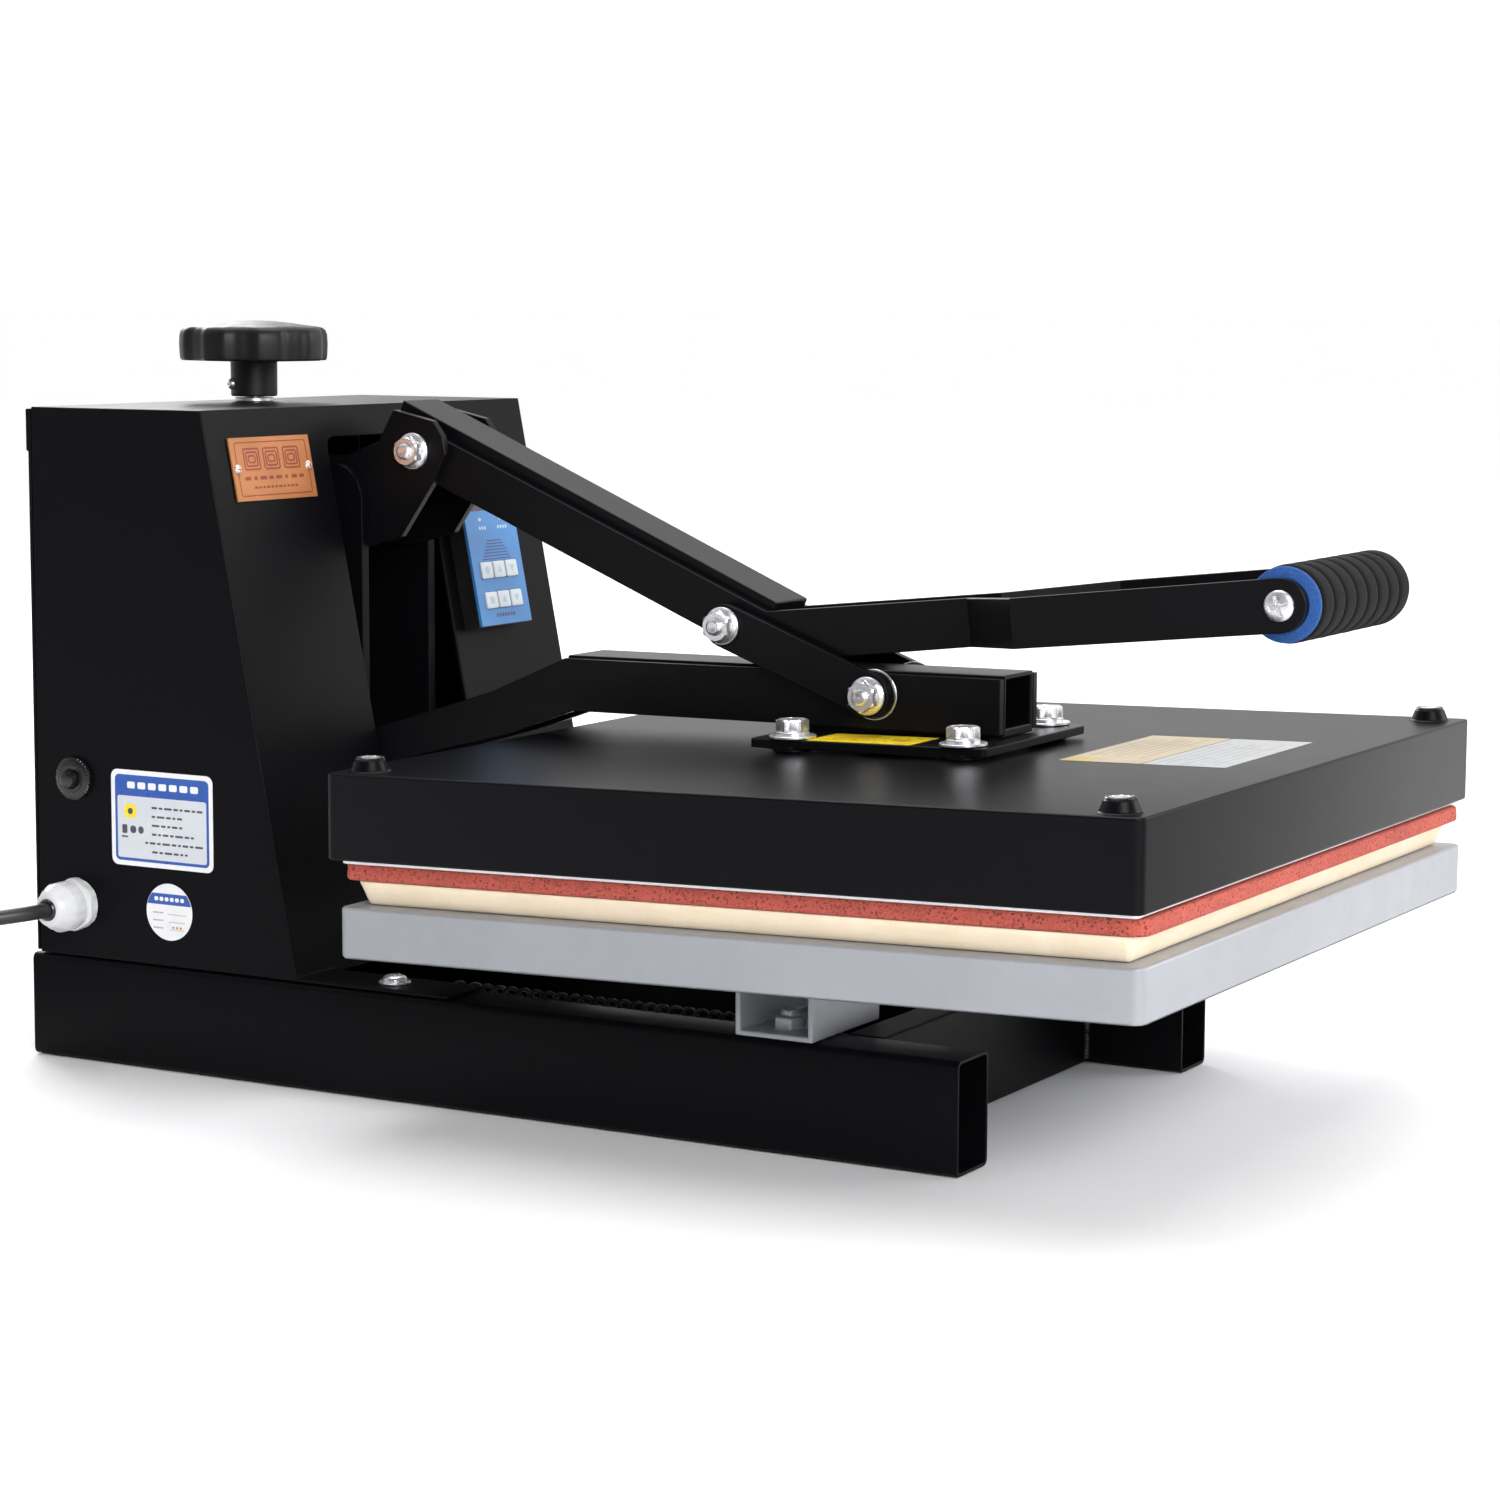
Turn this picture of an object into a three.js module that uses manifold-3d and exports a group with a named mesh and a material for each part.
// Clamshell flat heat press, 38 x 38 cm platen, closed and latched.
// Millimetres, +Z up. X is the operator's right, the handle end is -Y, the tower is at +Y.
// Built in machine coordinates (y = 0 at the front edge of the lower tray) and moved by SHIFT_Y at the end,
// so that the origin is under the centre of the machine, on the floor.
import * as THREE from 'three';
import Module from 'manifold-3d';
import { mergeVertices } from 'three/addons/utils/BufferGeometryUtils.js';

const wasm = await Module();
wasm.setup();
const { Manifold, Mesh: MMesh } = wasm;

// ---------------------------------------------------------------- driving dimensions
const SHIFT_Y = -290.75;
const GAP = 0.3;

// base frame
const RAIL_X = 134.3, RAIL_W = 29.2, RAIL_H = 49.5, RAIL_Y0 = 105.7, RAIL_Y1 = 600.5, RAIL_WALL = 1.6, RAIL_R = 3;
const BEAM_F_Y0 = 155.0, BEAM_F_Y1 = 173.5, BEAM_R_Y0 = 556, BEAM_R_Y1 = 586;

// tower
const TW_X = 133.4, TW_REAR = 596.2, TW_FT = 495.9, TW_FB = 444.0, TW_TOP = 310.6, TW_BOT = 50.0, TW_WALL = 2.5;
const SLOT_X = 40.0, SLOT_Z0 = 118, SLOT_Z1 = 295.5;
const GUIDE_IN = 25.3, GUIDE_OUT = 30.7, GUIDE_Y0 = 479, GUIDE_Y1 = 588, GUIDE_TOP = 283;

// the four pivots, as (y, z)
const PA = [452.6, 289.5];   // upper arm on the pressure slide
const PB = [281.0, 214.0];   // link on upper arm
const PC = [205.8, 186.1];   // link on lower arm
const PD = [500.0, 138.0];   // lower arm in the tower
const BOLT_R = 4.0, HOLE_R = 4.4, SHAFT_R = 6.0, SHAFT_HOLE = 6.4;

// pressed stack, pitched a little nose-up
const PITCH = 0.02311, PITCH_Y = 190;
const TRAY = 380, TRAY_Z0 = 80.4, TRAY_Z1 = 103.2, TRAY_WALL = 2.0;
const CREAM_Z1 = 114.4, CREAM_IN = 5.0;
const RED_W = 374, RED_Z0 = 114.7, RED_Z1 = 121.9;
const HEAT_W = 379, HEAT_Z0 = 122.2, HEAT_Z1 = 136;
const COVER_W = 389, COVER_L = 384, COVER_Z0 = 124.2, COVER_Z1 = 162.35, COVER_WALL = 2.0;
const MP_X = 54, MP_Y0 = 134, MP_Y1 = 252, MP_Z0 = 164.3, MP_Z1 = 168.3;

// arms
const ARM_HALF = 15.0, BAR_IN = 15.3, BAR_OUT = 20.0, LOW_OUT = 19.6;
const EAR_IN = 20.4, EAR_OUT = 24.9;
const LINK_IN = 21.7, LINK_OUT = 26.1, LINK_R = 10;
const SPREAD_IN = 56.3, SPREAD_OUT = 61.0;
const REAR_IN = 32.6, REAR_OUT = 37.0;
const GRIP_Y = -2.5, GRIP_Z = 238.6, GRIP_R = 16.6, DISC_R = 16.0;

// pressure adjuster
const ROD_Y = 566, ROD_R = 5.0, KNOB_R = 36.9;

// ---------------------------------------------------------------- helpers
const sk = (y) => -PITCH * (y - PITCH_Y);

function toM(g) {
  let h = g.index ? g.clone() : g.clone();
  h.deleteAttribute('normal'); h.deleteAttribute('uv');
  h = mergeVertices(h, 1e-4);
  const pos = h.attributes.position.array;
  const idx = h.index.array;
  const m = new MMesh({ numProp: 3, vertProperties: new Float32Array(pos), triVerts: new Uint32Array(idx) });
  m.merge();
  return new Manifold(m);
}
function fromM(m) {
  const r = m.getMesh();
  const g = new THREE.BufferGeometry();
  const n = r.numProp;
  const vp = r.vertProperties;
  const pos = new Float32Array((vp.length / n) * 3);
  for (let i = 0; i < vp.length / n; i++) { pos[3 * i] = vp[n * i]; pos[3 * i + 1] = vp[n * i + 1]; pos[3 * i + 2] = vp[n * i + 2]; }
  g.setAttribute('position', new THREE.BufferAttribute(pos, 3));
  g.setIndex(new THREE.BufferAttribute(new Uint32Array(r.triVerts), 1));
  return g;
}
const box = (x0, x1, y0, y1, z0, z1) => {
  const g = new THREE.BoxGeometry(x1 - x0, y1 - y0, z1 - z0);
  g.translate((x0 + x1) / 2, (y0 + y1) / 2, (z0 + z1) / 2);
  return g;
};
const mbox = (...a) => toM(box(...a));
// cylinder along X, centred on (y, z)
const cylX = (r, x0, x1, y, z, seg = 24) => {
  const g = new THREE.CylinderGeometry(r, r, x1 - x0, seg);
  g.rotateZ(Math.PI / 2);
  g.translate((x0 + x1) / 2, y, z);
  return g;
};
const cylZ = (r, z0, z1, x, y, seg = 24, rTop = null) => {
  const g = new THREE.CylinderGeometry(rTop ?? r, r, z1 - z0, seg);
  g.rotateX(Math.PI / 2);
  g.translate(x, y, (z0 + z1) / 2);
  return g;
};
const cylY = (r, y0, y1, x, z, seg = 20) => {
  const g = new THREE.CylinderGeometry(r, r, y1 - y0, seg);
  g.translate(x, (y0 + y1) / 2, z);
  return g;
};
// side profile given as [y, z] points, extruded over x0..x1
function profX(pts, x0, x1) {
  const s = new THREE.Shape();
  pts.forEach(([y, z], i) => (i ? s.lineTo(y, z) : s.moveTo(y, z)));
  s.closePath();
  const g = new THREE.ExtrudeGeometry(s, { depth: x1 - x0, bevelEnabled: false, curveSegments: 8 });
  // shape x -> world y, shape y -> world z, depth -> world x
  const m = new THREE.Matrix4().set(0, 0, 1, x0, 1, 0, 0, 0, 0, 1, 0, 0, 0, 0, 0, 1);
  g.applyMatrix4(m);
  return g;
}
function roundRect(w, h, r, seg = 4) {
  const p = [];
  const c = [[w / 2 - r, h / 2 - r, 0], [-w / 2 + r, h / 2 - r, 90], [-w / 2 + r, -h / 2 + r, 180], [w / 2 - r, -h / 2 + r, 270]];
  for (const [cx, cy, a0] of c) for (let i = 0; i <= seg; i++) {
    const a = (a0 + (90 * i) / seg) * Math.PI / 180;
    p.push([cx + r * Math.cos(a), cy + r * Math.sin(a)]);
  }
  return p;
}
// rounded slab in plan, z0..z1
function slab(cx, cy, w, l, r, z0, z1, seg = 4) {
  const s = new THREE.Shape();
  roundRect(w, l, r, seg).forEach(([x, y], i) => (i ? s.lineTo(x, y) : s.moveTo(x, y)));
  s.closePath();
  const g = new THREE.ExtrudeGeometry(s, { depth: z1 - z0, bevelEnabled: false });
  g.translate(cx, cy, z0);
  return g;
}
// tilt a geometry with the pressed stack (shear in z, so lengths in plan stay true)
function pitched(g) {
  const p = g.attributes.position;
  for (let i = 0; i < p.count; i++) p.setZ(i, p.getZ(i) + sk(p.getY(i)));
  p.needsUpdate = true;
  return g;
}
// flat bar through stations [yTop, zTop, yBot, zBot, xIn, xOut]; side = -1 left, +1 right
function ribbon(st, side) {
  const v = [], f = [];
  for (const [yt, zt, yb, zb, xi, xo] of st) {
    v.push([side * xi, yt, zt], [side * xo, yt, zt], [side * xo, yb, zb], [side * xi, yb, zb]);
  }
  const n = st.length;
  for (let i = 0; i < n - 1; i++) {
    const a = 4 * i, b = 4 * (i + 1);
    for (let k = 0; k < 4; k++) {
      const k2 = (k + 1) % 4;
      f.push([a + k, b + k, b + k2], [a + k, b + k2, a + k2]);
    }
  }
  f.push([0, 1, 2], [0, 2, 3]);
  const e = 4 * (n - 1);
  f.push([e, e + 2, e + 1], [e, e + 3, e + 2]);
  let vol = 0;
  const tri = (t) => t.map((i) => v[i]);
  for (const t of f) { const [p, q, r] = tri(t); vol += p[0] * (q[1] * r[2] - q[2] * r[1]) - p[1] * (q[0] * r[2] - q[2] * r[0]) + p[2] * (q[0] * r[1] - q[1] * r[0]); }
  const g = new THREE.BufferGeometry();
  g.setAttribute('position', new THREE.BufferAttribute(new Float32Array(v.flat()), 3));
  g.setIndex(f.map((t) => (vol < 0 ? [t[0], t[2], t[1]] : t)).flat());
  return g;
}
// rounded end stations around (cy, cz) for a bar arriving with direction angle a (radians, in y-z)
function roundEnd(cy, cz, r, a, xi, xo, n = 6) {
  const out = [];
  for (let i = 0; i <= n; i++) {
    const t = (i / n) * (Math.PI / 2) * 0.97;
    const c = Math.cos(t), s = Math.sin(t);
    const uy = Math.cos(a), uz = Math.sin(a);
    // up normal is chosen to keep "top" above
    let ny = -uz, nz = uy; if (nz < 0) { ny = -ny; nz = -nz; }
    out.push([cy + uy * r * s + ny * r * c, cz + uz * r * s + nz * r * c, cy + uy * r * s - ny * r * c, cz + uz * r * s - nz * r * c, xi, xo]);
  }
  return out;
}
function lathe(profile, seg = 32) {
  return new THREE.LatheGeometry(profile.map(([r, z]) => new THREE.Vector2(r, z)), seg);
}
// hexagon prism along X
function hexX(af, x0, x1, y, z) { return cylX(af / 2 / Math.cos(Math.PI / 6), x0, x1, y, z, 6); }
function union(...gs) { return gs.map((g) => (g.isBufferGeometry ? toM(g) : g)).reduce((a, b) => a.add(b)); }
function cut(a, ...gs) { let m = a.isBufferGeometry ? toM(a) : a; for (const g of gs) m = m.subtract(g.isBufferGeometry ? toM(g) : g); return m; }

const root = new THREE.Group();
root.name = 'heat_press';
function add(name, geo, color, roughness = 0.5, metalness = 0.0) {
  let g = geo.isBufferGeometry ? geo : fromM(geo);
  if (g.attributes.uv) g.deleteAttribute('uv');
  g.translate(0, SHIFT_Y, 0);
  const m = new THREE.Mesh(g, new THREE.MeshStandardMaterial({ color, roughness, metalness }));
  m.name = name;
  root.add(m);
  return m;
}
const BLACK = 0x26262a, SILVER = 0xb9bcc2, ZINC = 0xd4d6da;

// ---------------------------------------------------------------- base frame
function railGeo(side) {
  const cx = side * (RAIL_X - RAIL_W / 2);
  const mk = (w, h, r, y0, y1) => {
    const s = new THREE.Shape();
    roundRect(w, h, r, 3).forEach(([x, z], i) => (i ? s.lineTo(x, z) : s.moveTo(x, z)));
    s.closePath();
    const g = new THREE.ExtrudeGeometry(s, { depth: y1 - y0, bevelEnabled: false });
    g.rotateX(Math.PI / 2);
    g.translate(cx, y1, RAIL_H / 2);
    return g;
  };
  return cut(mk(RAIL_W, RAIL_H, RAIL_R, RAIL_Y0, RAIL_Y1), mk(RAIL_W - 2 * RAIL_WALL, RAIL_H - 2 * RAIL_WALL, RAIL_R - 1.2, RAIL_Y0 - 1, RAIL_Y1 + 1));
}
add('rail_left', railGeo(-1), BLACK, 0.5, 0.2);
add('rail_right', railGeo(1), BLACK, 0.5, 0.2);
const BX = RAIL_X - RAIL_W - GAP;
add('cross_beam_front', box(-BX, BX, BEAM_F_Y0, BEAM_F_Y1, 0.2, RAIL_H - 0.2), BLACK, 0.5, 0.2);
add('cross_beam_rear', box(-BX, BX, BEAM_R_Y0, BEAM_R_Y1, 0.2, RAIL_H - 0.2), BLACK, 0.5, 0.2);

// ---------------------------------------------------------------- tower
const slope = (TW_FT - TW_FB) / (TW_TOP - TW_BOT);
const frontY = (z) => TW_FB + (z - TW_BOT) * slope;
{
  const outer = profX([[TW_FB, TW_BOT], [TW_REAR, TW_BOT], [TW_REAR, TW_TOP], [TW_FT, TW_TOP]], -TW_X, TW_X);
  const w = TW_WALL, k = w * Math.hypot(1, slope);
  const inner = profX([[TW_FB - 20 * slope + k, TW_BOT - 20], [TW_REAR + 20, TW_BOT - 20], [TW_REAR + 20, TW_TOP - w], [frontY(TW_TOP - w) + k, TW_TOP - w]], -TW_X + w, TW_X - w);
  const sh = new THREE.Shape();
  roundRect(2 * SLOT_X, SLOT_Z1 - SLOT_Z0, 5, 3).forEach(([x, z], i) => (i ? sh.lineTo(x, z) : sh.moveTo(x, z)));
  sh.closePath();
  const slot = new THREE.ExtrudeGeometry(sh, { depth: 110, bevelEnabled: false });
  slot.rotateX(Math.PI / 2);
  slot.translate(0, 530, (SLOT_Z0 + SLOT_Z1) / 2);
  const rodHole = cylZ(ROD_R + 1.2, TW_TOP - 12, TW_TOP + 5, 0, ROD_Y, 20);
  const foot = (s) => box(Math.min(s * TW_X, s * 105), Math.max(s * TW_X, s * 105), 361, 460, RAIL_H + GAP, RAIL_H + GAP + 2);    // mounting flange on the rail
  add('tower_housing', union(cut(outer, inner, slot, rodHole), foot(-1), foot(1)), BLACK, 0.55, 0.2);
}
add('rear_cover', union(box(-TW_X, TW_X, TW_REAR + GAP, TW_REAR + 2.0, TW_BOT + 1, TW_TOP - 1), box(-TW_X, TW_X, TW_REAR + 1.5, TW_REAR + 3.2, TW_TOP - 21, TW_TOP - 1)), BLACK, 0.55, 0.2);

function guideGeo(side) {
  const p = [];
  const r = 18;
  p.push([GUIDE_Y0, TW_BOT - 0.2], [GUIDE_Y1, TW_BOT - 0.2], [GUIDE_Y1, GUIDE_TOP]);
  for (let i = 0; i <= 6; i++) { const a = Math.PI / 2 + (i / 6) * Math.PI / 2; p.push([GUIDE_Y0 + r + r * Math.cos(a), GUIDE_TOP - r + r * Math.sin(a)]); }
  const x0 = side < 0 ? -GUIDE_OUT : GUIDE_IN, x1 = side < 0 ? -GUIDE_IN : GUIDE_OUT;
  return cut(profX(p, x0, x1), cylX(SHAFT_HOLE, x0 - 1, x1 + 1, PD[0], PD[1], 20));
}
add('guide_plate_left', guideGeo(-1), BLACK, 0.5, 0.2);
add('guide_plate_right', guideGeo(1), BLACK, 0.5, 0.2);
add('arm_pivot_shaft', union(cylX(SHAFT_R, -43, 43, PD[0], PD[1], 24), hexX(18, -49, -42.5, PD[0], PD[1]), hexX(18, 42.5, 49, PD[0], PD[1])), SILVER, 0.35, 0.9);

// ---------------------------------------------------------------- lower tray, pads and supports
{
  const o = pitched(slab(0, TRAY / 2, TRAY, TRAY, 5, TRAY_Z0, TRAY_Z1, 3));
  const i = pitched(slab(0, TRAY / 2, TRAY - 2 * TRAY_WALL, TRAY - 2 * TRAY_WALL, 4, TRAY_Z0 - 3, TRAY_Z1 - TRAY_WALL, 3));
  const blk = (s) => pitched(box(s * 103 - 31, s * 103 + 31, 174.4, 212.2, TRAY_Z0, TRAY_Z1 - 1));
  add('lower_tray', union(cut(o, i), blk(-1), blk(1)), SILVER, 0.4, 0.8);
}
{
  // cream layer: wider at the top than at the bottom
  const w = RED_W - 3, b = w - 2 * CREAM_IN;
  const g = box(-0.5, 0.5, -0.5, 0.5, TRAY_Z1 + GAP, CREAM_Z1);
  const p = g.attributes.position;
  for (let i = 0; i < p.count; i++) {
    const top = p.getZ(i) > (TRAY_Z1 + CREAM_Z1) / 2;
    const s = top ? w : b;
    p.setX(i, p.getX(i) * s); p.setY(i, p.getY(i) * s + TRAY / 2);
  }
  add('pad_cream', pitched(g), 0xefe2c8, 0.9, 0);
}
add('pad_red', pitched(slab(0, TRAY / 2, RED_W, 380, 4, RED_Z0, RED_Z1, 3)), 0xbb5a50, 0.85, 0);
function supportGeo(side) {
  const x0 = side < 0 ? -RAIL_X : RAIL_X - 62, x1 = side < 0 ? -RAIL_X + 62 : RAIL_X;
  const y0 = 174.4, y1 = 212.2, z0 = RAIL_H + GAP, zt = (y) => TRAY_Z0 + sk(y) - GAP;
  const o = profX([[y0, z0], [y1, z0], [y1, zt(y1)], [y0, zt(y0)]], x0, x1);
  const w = 2.5;
  const i = profX([[y0 + w, z0 + w], [y1 - w, z0 + w], [y1 - w, zt(y1) - w], [y0 + w, zt(y0) - w]], x0 - 1, x1 + 1);
  const bx = side * (RAIL_X - 14.6);
  return union(cut(o, i), cylZ(4, z0 + 1, z0 + 11, bx, 193.3, 12), cylZ(7.5, z0 + 1.5, z0 + 8, bx, 193.3, 6));
}
add('support_block_left', supportGeo(-1), SILVER, 0.4, 0.8);
add('support_block_right', supportGeo(1), SILVER, 0.4, 0.8);
function springGeo(side) {
  const cx = side * 90, cz = 42, r0 = 7.5, n = 22, L = 150, y0 = 232;
  const pr = [[0, BEAM_F_Y1 + GAP], [3, BEAM_F_Y1 + GAP], [3, y0]];
  for (let i = 0; i < n; i++) { pr.push([r0 - 1.6, y0 + (i + 0.02) * L / n], [r0, y0 + (i + 0.5) * L / n]); }
  pr.push([r0 - 1.6, y0 + L], [3, y0 + L + 0.5], [3, BEAM_R_Y0 - GAP], [0, BEAM_R_Y0 - GAP]);
  const g = lathe(pr, 12);
  g.translate(cx, 0, cz);
  return toM(g);
}
add('spring_left', springGeo(-1), 0x1b1b1d, 0.5, 0.5);
add('spring_right', springGeo(1), 0x1b1b1d, 0.5, 0.5);

// ---------------------------------------------------------------- electrical parts on the tower
const GL_Y = 572.5, GL_Z = 75.5;
{
  const g = lathe([[4.1, 0], [12.6, 0], [12.6, 4], [11, 4.6], [11, 8], [11.8, 8.6], [11.8, 15], [8.6, 21], [6.2, 22.5], [4.1, 22.5], [4.1, 0]], 28);
  g.rotateZ(Math.PI / 2);
  g.translate(-TW_X - GAP, GL_Y, GL_Z);
  add('cable_gland', g, 0xe6e6e4, 0.5, 0);
}
{
  const g = lathe([[0, 0], [10.3, 0], [10.3, 2.2], [9, 3.2], [4.6, 3.2], [4.6, 0.4], [0, 0.4]], 28);
  g.rotateZ(Math.PI / 2);
  g.translate(-TW_X - GAP, 572.9, 135.6);
  add('breaker_body', g, 0x1c1c1e, 0.45, 0);
  const b = lathe([[0, 0], [4.2, 0], [4.2, 4.6], [3.4, 5.2], [0, 5.2]], 24);
  b.rotateZ(Math.PI / 2);
  b.translate(-TW_X - GAP - 2.0, 572.9, 135.6);
  add('reset_button', b, 0x131315, 0.4, 0);
}

// parts on the sloping front face: u along X, v up the face, w out of the face
const fl = Math.hypot(1, slope);
const faceM = new THREE.Matrix4().makeBasis(new THREE.Vector3(1, 0, 0), new THREE.Vector3(0, slope / fl, 1 / fl), new THREE.Vector3(0, -1 / fl, slope / fl));
function onFace(g, x, z) { g.applyMatrix4(faceM); g.translate(x, frontY(z), z); return g; }
{
  const plate = box(-30.7, 30.7, -14.9, 14.9, GAP, 1.3);
  const rv = (x) => cylZ(2.0, 0.8, 2.2, x, 0, 14);
  const m = union(plate, rv(-27), rv(27));
  add('badge_plate', onFace(fromM(m), -87.1, 282.7), 0xb9854a, 0.35, 0.8);
}
const CB_X = 71.6, CB_Z = 232.8, CB_W = 46, CB_H = 74, CB_T = 10;
{
  add('control_box', onFace(box(-CB_W / 2, CB_W / 2, -CB_H / 2, CB_H / 2, GAP, CB_T - 1.1), CB_X, CB_Z), 0x17171a, 0.5, 0);
  let pan = toM(box(-CB_W / 2 + 0.4, CB_W / 2 - 0.4, -CB_H / 2 + 0.4, CB_H / 2 - 0.4, CB_T - 0.8, CB_T + 0.8));
  const KX = [-11.2, 0, 11.2], KZ = [-8.8, -24.0];
  for (const kx of KX) for (const kz of KZ) pan = pan.subtract(toM(box(kx - 5.4, kx + 5.4, kz - 4.5, kz + 4.5, CB_T - 0.1, CB_T + 3)));
  add('control_panel', onFace(fromM(pan), CB_X, CB_Z), 0x4fa3d6, 0.45, 0);
  let i = 0;
  for (const kz of KZ) for (const kx of KX) {
    i++;
    add('key_' + i, onFace(box(kx - 5.1, kx + 5.1, kz - 4.2, kz + 4.2, CB_T + 0.6, CB_T + 1.7), CB_X, CB_Z), 0xf0f2f2, 0.5, 0);
  }
}

// ---------------------------------------------------------------- pressure slide
function earGeo(side) {
  const p = [[464.5, 309.0], [442.0, 304.1], [436.6, 297.0], [434.4, 288.2], [441.5, 274.8], [460.5, 248.0], [484, 241.2], [578, 241.2], [584, 247], [584, 280], [580, 285.5], [492, 286.5], [473.5, 293.5]];
  const x0 = side < 0 ? -EAR_OUT : EAR_IN, x1 = side < 0 ? -EAR_IN : EAR_OUT;
  return cut(profX(p, x0, x1), cylX(HOLE_R, x0 - 1, x1 + 1, PA[0], PA[1], 20));
}
add('ear_plate_left', earGeo(-1), BLACK, 0.5, 0.2);
add('ear_plate_right', earGeo(1), BLACK, 0.5, 0.2);
add('slide_block', cut(box(-EAR_IN + GAP, EAR_IN - GAP, 530, 583, 246, 280), cylZ(ROD_R + 0.4, 200, 300, 0, ROD_Y, 20)), 0x3a3a3e, 0.45, 0.5);
function boltX(y, z, half, washer, nutAF, tip) {
  // through bolt with washer and flange nut on both sides, outer faces at +-half
  return union(
    cylX(BOLT_R, -half - tip, half + tip, y, z, 20),
    cylX(washer, -half - 1.8, -half - GAP, y, z, 28), cylX(washer, half + GAP, half + 1.8, y, z, 28),
    hexX(nutAF, -half - 7.6, -half - 1.5, y, z), hexX(nutAF, half + 1.5, half + 7.6, y, z));
}
add('pivot_bolt_upper', boltX(PA[0], PA[1], EAR_OUT, 8.8, 13, 10), ZINC, 0.3, 0.9);

// ---------------------------------------------------------------- knob and screw
{
  const N = 8, PHASE = 4.5 * Math.PI / 180, seg = 72, rings = [[11.5, 0], [11.5, 13.5], [26, 16.5], [1, 20], [1, 29], [0.93, 33.5], [0.72, 36.5], [0.3, 38]];
  // lobed body: radius varies with angle on the rim rings
  const v = [], f = [];
  const zz = [0, 13.0, 16.0, 19.0, 29.0, 33.5, 36.6];
  const rr = [11.5, 11.5, 26, 1.0, 1.0, 0.93, 0.72];
  for (let k = 0; k < zz.length; k++) for (let i = 0; i < seg; i++) {
    const a = (i / seg) * 2 * Math.PI;
    let r = rr[k];
    const c = Math.cos(N * (a - PHASE));
    if (k >= 3) r = rr[k] * (KNOB_R - 2.3 * (1 - c) * 0.5 - 1.0 * Math.pow(0.5 - 0.5 * c, 4));
    v.push([r * Math.cos(a), r * Math.sin(a), zz[k]]);
  }
  const b = v.length; v.push([0, 0, 0], [0, 0, 38.0]);
  for (let k = 0; k < zz.length - 1; k++) for (let i = 0; i < seg; i++) {
    const j = (i + 1) % seg, a = k * seg;
    f.push([a + i, a + j, a + seg + j], [a + i, a + seg + j, a + seg + i]);
  }
  for (let i = 0; i < seg; i++) { const j = (i + 1) % seg; f.push([b, j, i], [b + 1, (zz.length - 1) * seg + i, (zz.length - 1) * seg + j]); }
  const g = new THREE.BufferGeometry();
  g.setAttribute('position', new THREE.BufferAttribute(new Float32Array(v.flat()), 3));
  g.setIndex(f.flat());
  g.translate(0, ROD_Y, TW_TOP + 2.6);
  add('pressure_knob', cut(g, cylZ(ROD_R + 0.3, TW_TOP - 5, TW_TOP + 2.6 + 22, 0, ROD_Y, 20)), 0x1e1e20, 0.5, 0);
  add('pressure_screw', cylZ(ROD_R, 206, TW_TOP + 2.6 + 21.6, 0, ROD_Y, 20), SILVER, 0.35, 0.9);
}

// ---------------------------------------------------------------- upper arm with the handle
const UA = Math.atan2(PA[1] - PB[1], PA[0] - PB[0]);        // arm slope
const armU = [0.9191, 0.3941];                              // along the arm, towards the tower
const armN = [-0.3941, 0.9191];                             // across the arm, upwards
const along = (o, s, n) => [o[0] + armU[0] * s + armN[0] * n, o[1] + armU[1] * s + armN[1] * n];
{
  // square tube: top 16.8 above the pivot line, 26 deep
  const t = 16.8, b = -9.4, L = 210.8;
  const a0 = along(PA, 21.5, 0), a1 = along(PA, 21.5 - 225, 0);
  const P = (s, n) => along(PA, s, n);
  const o = profX([P(-203.5, t), P(-203.5, b), P(21.5, b), P(21.5, t)], -ARM_HALF, ARM_HALF);
  const i = profX([P(-206, t - 2.2), P(-206, b + 2.2), P(24, b + 2.2), P(24, t - 2.2)], -ARM_HALF + 2.2, ARM_HALF - 2.2);
  const capF = profX([P(-203.5, t), P(-203.5, b), P(-201.3, b), P(-201.3, t)], -ARM_HALF, ARM_HALF);
  add('upper_arm_tube', cut(union(cut(o, i), capF), cylX(HOLE_R, -20, 20, PA[0], PA[1], 20), cylX(HOLE_R, -20, 20, PB[0], PB[1], 20)), BLACK, 0.5, 0.2);
}
function handleBar(side) {
  // arm part, in-plane bend, straight run, outward jog, rounded end
  const ca = along(PA, 0, -0.2);
  const st = [];
  const endA = roundEnd(PA[0], PA[1] - 0.2, 10.8, Math.atan2(armU[1], armU[0]), BAR_IN, BAR_OUT, 5).reverse();
  st.push(...endA);
  st.push([261.8, 221.0, 261.7, 197.6, BAR_IN, BAR_OUT]);
  const h = 10.9, u = [-0.9938, 0.1113], n = [0.1113, 0.9938];
  const L = (y) => 209.3 + (261.75 - y) * 0.1120;
  const sta = (y, xi, xo) => { const z = L(y); return [y + n[0] * h, z + n[1] * h, y - n[0] * h, z - n[1] * h, xi, xo]; };
  st.push(sta(159, BAR_IN, BAR_OUT));
  st.push(sta(119, SPREAD_IN, SPREAD_OUT));
  st.push(...roundEnd(GRIP_Y, GRIP_Z, 11.4, Math.atan2(0.1113, -0.9938), SPREAD_IN, SPREAD_OUT, 7));
  return cut(ribbon(st, side), cylX(HOLE_R, -80, 80, PA[0], PA[1], 20), cylX(HOLE_R, -80, 80, PB[0], PB[1], 20), cylX(3.4, -80, 80, GRIP_Y, GRIP_Z, 16));
}
add('handle_bar_left', handleBar(-1), BLACK, 0.5, 0.2);
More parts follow.
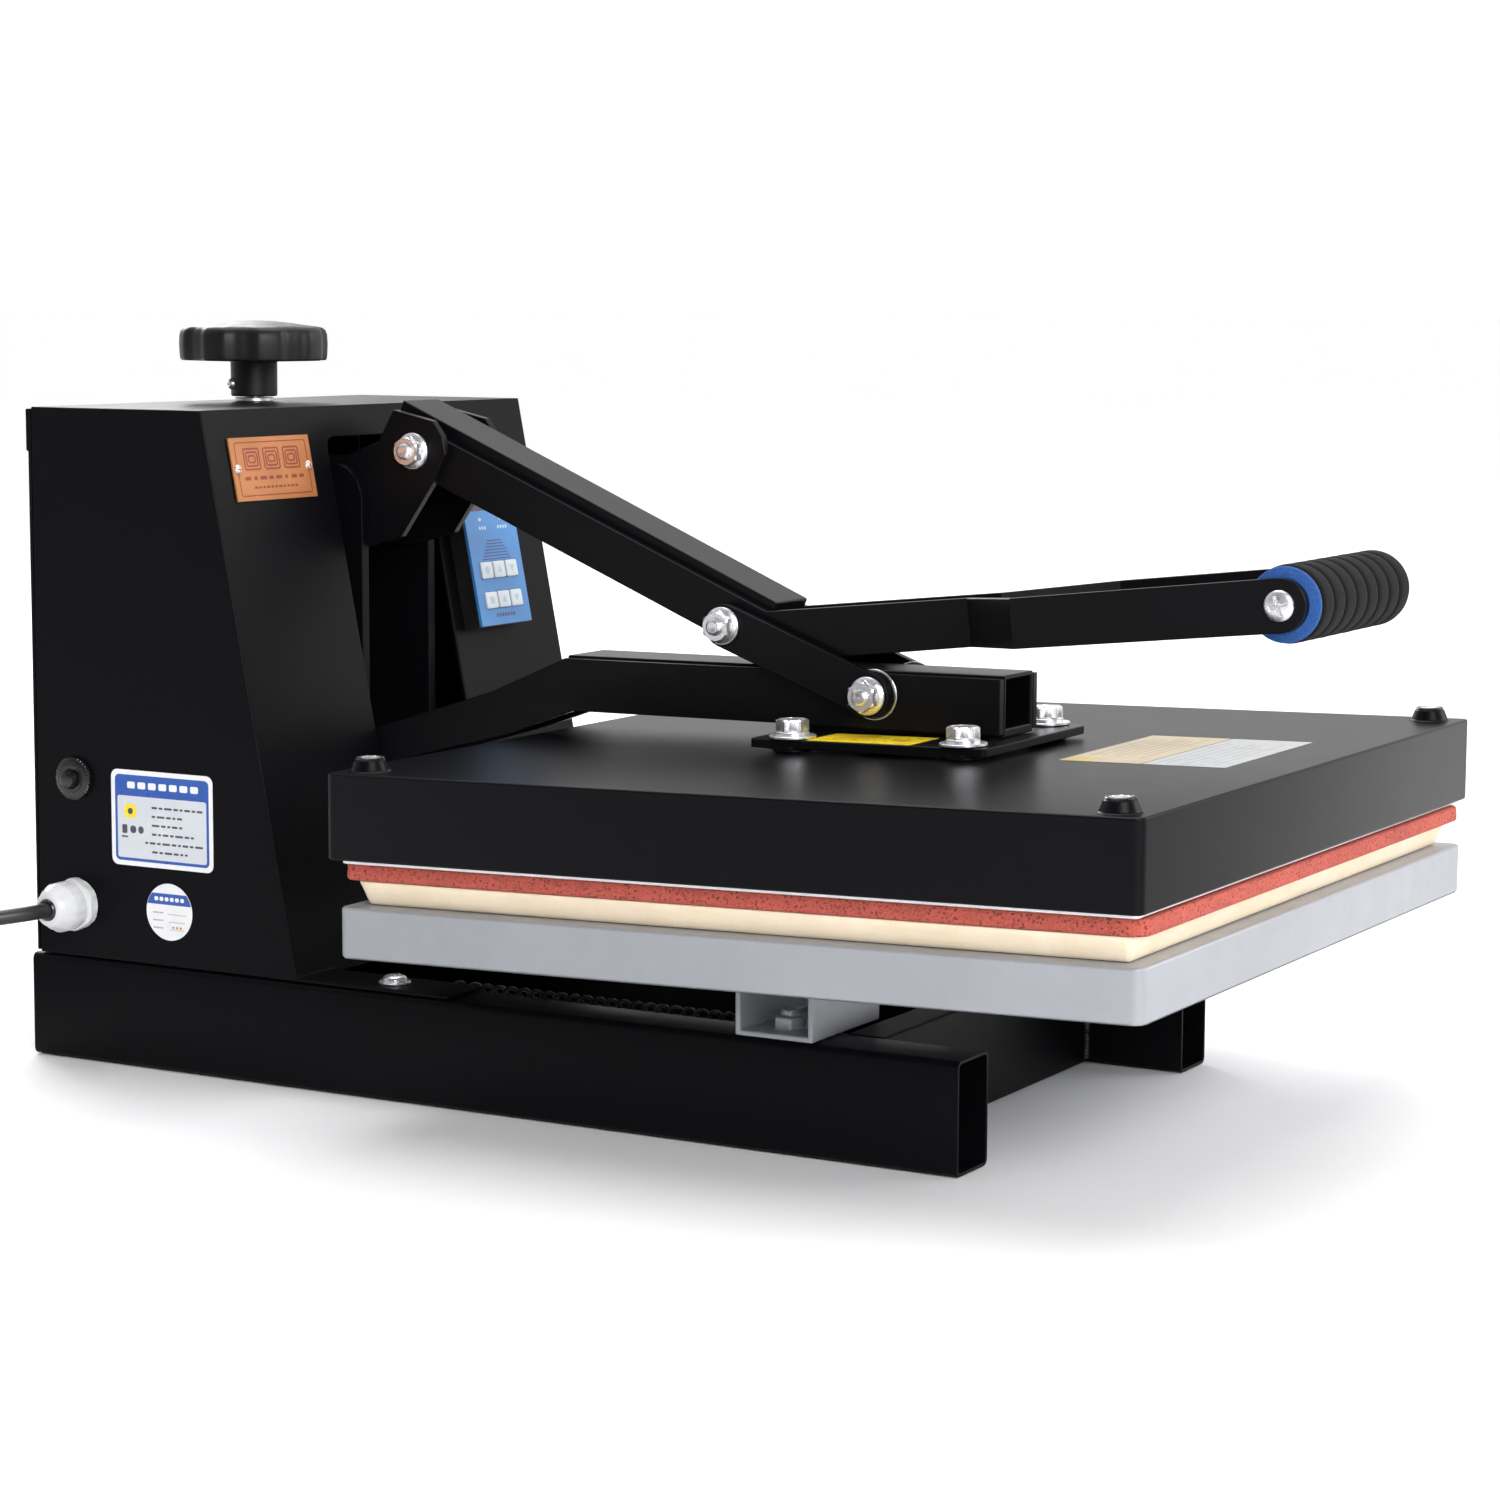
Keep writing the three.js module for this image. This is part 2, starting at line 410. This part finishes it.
add('handle_bar_right', handleBar(1), BLACK, 0.5, 0.2);
{
  // foam sleeve with seven rings, hollow on the handle rod
  const x0 = -SPREAD_IN + 3.2, x1 = SPREAD_IN - 3.2, n = 8, L = x1 - x0;
  const pr = [[5.0, x0]];
  for (let i = 0; i < n; i++) {
    const a = x0 + (i / n) * L, b = x0 + ((i + 1) / n) * L;
    pr.push([GRIP_R - 1.3, a + 0.05], [GRIP_R, a + 1.6], [GRIP_R, b - 1.6], [GRIP_R - 1.3, b - 0.05]);
  }
  pr.push([5.0, x1], [5.0, x0]);
  const g = lathe(pr, 24);
  g.rotateZ(-Math.PI / 2);
  g.translate(0, GRIP_Y, GRIP_Z);
  add('grip_foam', toM(g), 0x232325, 0.9, 0);
  const disc = (s) => cut(cylX(DISC_R, s < 0 ? -SPREAD_IN + GAP : SPREAD_IN - 2.9, s < 0 ? -SPREAD_IN + 2.9 : SPREAD_IN - GAP, GRIP_Y, GRIP_Z, 28), cylX(5.0, -70, 70, GRIP_Y, GRIP_Z, 20));
  add('grip_disc_left', disc(-1), 0x3f8fce, 0.85, 0);
  add('grip_disc_right', disc(1), 0x3f8fce, 0.85, 0);
  add('handle_rod', union(cylX(4.6, -SPREAD_IN + GAP, SPREAD_IN - GAP, GRIP_Y, GRIP_Z, 20), cylX(3.0, -SPREAD_OUT - 1, SPREAD_OUT + 1, GRIP_Y, GRIP_Z, 16),
    cylX(6.6, -SPREAD_OUT - 3.0, -SPREAD_OUT - GAP, GRIP_Y, GRIP_Z, 24), cylX(6.6, SPREAD_OUT + GAP, SPREAD_OUT + 3.0, GRIP_Y, GRIP_Z, 24)), ZINC, 0.3, 0.9);
}
add('pivot_bolt_middle', union(cylX(BOLT_R, -LINK_IN + GAP, LINK_IN - GAP, PB[0], PB[1], 20),
  cylX(8.8, -LINK_IN + GAP, -BAR_OUT - GAP, PB[0], PB[1], 28), cylX(8.8, BAR_OUT + GAP, LINK_IN - GAP, PB[0], PB[1], 28)), ZINC, 0.3, 0.9);

// ---------------------------------------------------------------- links
function linkGeo(side) {
  const a = Math.atan2(PC[1] - PB[1], PC[0] - PB[0]);
  const st = [...roundEnd(PB[0], PB[1], LINK_R, a + Math.PI, LINK_IN, LINK_OUT, 6).reverse(), ...roundEnd(PC[0], PC[1], LINK_R, a, LINK_IN, LINK_OUT, 6)];
  return cut(ribbon(st, side), cylX(HOLE_R, -60, 60, PC[0], PC[1], 20));
}
add('link_left', linkGeo(-1), BLACK, 0.5, 0.2);
add('link_right', linkGeo(1), BLACK, 0.5, 0.2);
// outer half of the middle link bolt: it rides with the links (the loop is open at this pivot)
function linkNut(s) {
  const a = LINK_OUT + GAP, lo = (p, q) => (s < 0 ? [-q, -p] : [p, q]);
  return union(cylX(8.8, ...lo(a, a + 1.6), PB[0], PB[1], 28), hexX(13, ...lo(a + 1.4, a + 7.4), PB[0], PB[1]), cylX(BOLT_R, ...lo(a + 1.4, a + 9.8), PB[0], PB[1], 20));
}
add('link_nut_left', linkNut(-1), ZINC, 0.3, 0.9);
add('link_nut_right', linkNut(1), ZINC, 0.3, 0.9);

// ---------------------------------------------------------------- lower arm
const LT = (y) => 196.3 + (143.6 - y) * 0.01142, LB = (y) => 171.3 + (143.2 - y) * 0.01031;
{
  const y0 = 143.5, y1 = 372;
  const mpTop = (y) => MP_Z1 - PITCH * (y - 190) + GAP;    // foot of the tube on the mount plate
  const o = profX([[y0, mpTop(y0)], [MP_Y1 - 1, mpTop(MP_Y1 - 1)], [MP_Y1 + 3, LB(MP_Y1 + 3) + 0.3], [y1, LB(y1) + 0.3], [y1, LT(y1) + 1.2], [y0, LT(y0) + 1.2]], -ARM_HALF, ARM_HALF);
  const i = profX([[y0 - 2, LB(y0) + 2.5], [y1 - 2.2, LB(y1) + 2.5], [y1 - 2.2, LT(y1) - 1.0], [y0 - 2, LT(y0) - 1.0]], -ARM_HALF + 2.2, ARM_HALF - 2.2);
  add('lower_arm_tube', cut(cut(o, i), cylX(HOLE_R, -20, 20, PC[0], PC[1], 20)), BLACK, 0.5, 0.2);
}
function sidePlate(side) {
  const st = [
    [143.5, LT(143.5), 143.5, LB(143.5), BAR_IN, LOW_OUT],
    [371.3, 193.7, 366.2, 169.0, BAR_IN, LOW_OUT],
    [411.5, 175.9, 405.5, 155.2, BAR_IN, LOW_OUT],
    [455.0, 160.4, 450.0, 143.1, REAR_IN, REAR_OUT],
    [476, 154.0, 472, 136.0, REAR_IN, REAR_OUT],
    ...roundEnd(PD[0], PD[1], 11.5, Math.atan2(-0.26, 0.965), REAR_IN, REAR_OUT, 6)];
  return cut(ribbon(st, side), cylX(SHAFT_HOLE, -60, 60, PD[0], PD[1], 20), cylX(HOLE_R, -60, 60, PC[0], PC[1], 20));
}
add('lower_arm_plate_left', sidePlate(-1), BLACK, 0.5, 0.2);
add('lower_arm_plate_right', sidePlate(1), BLACK, 0.5, 0.2);
add('pivot_bolt_lower', union(cylX(BOLT_R, -LINK_OUT - 10, LINK_OUT + 10, PC[0], PC[1], 20),
  cylX(11.7, -LINK_IN + GAP, -LOW_OUT - GAP, PC[0], PC[1], 28), cylX(11.7, LOW_OUT + GAP, LINK_IN - GAP, PC[0], PC[1], 28),
  cylX(8.8, -LINK_OUT - 1.8, -LINK_OUT - GAP, PC[0], PC[1], 28), cylX(8.8, LINK_OUT + GAP, LINK_OUT + 1.8, PC[0], PC[1], 28),
  hexX(13, -LINK_OUT - 7.6, -LINK_OUT - 1.5, PC[0], PC[1]), hexX(13, LINK_OUT + 1.5, LINK_OUT + 7.6, PC[0], PC[1])), ZINC, 0.3, 0.9);
const BOLTS = [[-46.5, 148], [46.5, 151], [-46.5, 233], [46.5, 233]];
{
  let m = toM(pitched(slab(0, (MP_Y0 + MP_Y1) / 2, 2 * MP_X, MP_Y1 - MP_Y0, 4, MP_Z0, MP_Z1, 2)));
  for (const [x, y] of BOLTS) m = m.add(toM(pitched(cylZ(9, COVER_Z1 + GAP, MP_Z0 + 1, x, y, 20))));
  for (const [x, y] of BOLTS) m = m.subtract(toM(cylZ(4.4, 150, 190, x, y, 16)));
  add('mount_plate', m, BLACK, 0.5, 0.2);
}
BOLTS.forEach(([x, y], i) => {
  const z = MP_Z1 + GAP;
  const m = union(cylZ(4, COVER_Z1 + 0.6, z + 6, x, y, 16), cylZ(10.8, z, z + 1.7, x, y, 28), cylZ(6.5 / Math.cos(Math.PI / 6) + 0.6, z + 1.5, z + 8.6, x, y, 6));
  add('plate_bolt_' + (i + 1), pitched(fromM(m)), ZINC, 0.3, 0.9);
});
{
  const y = COVER_L / 2 - 0.9;
  const o = pitched(slab(0, y, COVER_W, COVER_L, 4, COVER_Z0, COVER_Z1, 3));
  const i = pitched(slab(0, y, COVER_W - 2 * COVER_WALL, COVER_L - 2 * COVER_WALL, 3, COVER_Z0 - 3, COVER_Z1 - COVER_WALL, 3));
  let m = cut(o, i);
  for (const [x, yy] of [[-181, 368.5], [181, 368.5], [-181, 14.5], [181, 14.5]]) {
    m = m.add(toM(pitched(cylZ(9.2, COVER_Z1 - 1, COVER_Z1 + 5.6, x, yy, 24, 6.6))));
  }
  add('upper_cover', m, 0x2a2a2e, 0.45, 0.2);
}
{
  // heating plate hangs in the cover on four bosses
  const y = TRAY / 2 + 0.6;
  let m = toM(pitched(slab(0, y, HEAT_W, 376, 3, HEAT_Z0, HEAT_Z1, 3)));
  for (const [x, yy] of [[-120, 70], [120, 70], [-120, 310], [120, 310]]) m = m.add(toM(pitched(cylZ(8, HEAT_Z1 - 1, COVER_Z1 - COVER_WALL - GAP, x, yy, 16))));
  add('heating_plate', m, 0xc8c9cc, 0.4, 0.85);
}

// ---------------------------------------------------------------- mains lead
const CORD_R = 3.6, COIL_X = -211, COIL_Y = 769.4, COIL_R = 40;
{
  // leaves the gland towards -X, turns back along the tower, drops to the floor behind the machine
  const pts = [[-TW_X - 9, GL_Y, GL_Z], [-TW_X - 23, GL_Y, GL_Z], [-TW_X - 34, GL_Y + 2.2, GL_Z - 0.3], [-TW_X - 50, GL_Y + 16, GL_Z - 2.5], [-TW_X - 57, GL_Y + 40, GL_Z - 10], [-TW_X - 55, GL_Y + 66, GL_Z - 27],
    [-TW_X - 50, GL_Y + 90, GL_Z - 49], [-TW_X - 43, GL_Y + 114, GL_Z - 65.5], [-TW_X - 34, GL_Y + 138, GL_Z - 71.6], [COIL_X + 47.4, COIL_Y - 40, 3.9], [COIL_X + 47.4, COIL_Y - 27.0, 3.9]];
  const c = new THREE.CatmullRomCurve3(pts.map((p) => new THREE.Vector3(...p)), false, 'centripetal');
  const s = new THREE.Shape();
  for (let i = 0; i < 12; i++) { const a = (i / 12) * 2 * Math.PI; const x = CORD_R * Math.cos(a), y = CORD_R * Math.sin(a); i ? s.lineTo(x, y) : s.moveTo(x, y); }
  s.closePath();
  add('power_cord', toM(new THREE.ExtrudeGeometry(s, { steps: 30, extrudePath: c, bevelEnabled: false })), 0x18181a, 0.55, 0);
}
{
  // six turns of the lead, put away as a flat coil: three across, two high
  const R = COIL_R;
  const g = lathe([[R - 11, 0.2], [R + 11, 0.2], [R + 11, 15.0], [R - 11, 15.0], [R - 11, 0.2]], 40);
  g.rotateX(Math.PI / 2);
  g.translate(COIL_X, COIL_Y, 0);
  add('cord_coil', g, 0x18181a, 0.55, 0);
}
{
  // moulded plug with its strain relief, lying beside the coil
  const cx = COIL_X - 47.4, t0 = COIL_Y - 29.4;
  const m = union(slab(cx, t0 - 38, 24, 36, 6, 0.3, 22.3, 3), cylY(4.6, t0 - 22, t0, cx, 11.2, 16));
  const pin = (dx, dz, r) => cylY(r, t0 - 74, t0 - 55, cx + dx, 11.3 + dz, 12);
  add('mains_plug', union(m, pin(-6, 3, 2.4), pin(6, 3, 2.4), pin(0, -5, 2.4)), 0x18181a, 0.5, 0);
}

export default root;
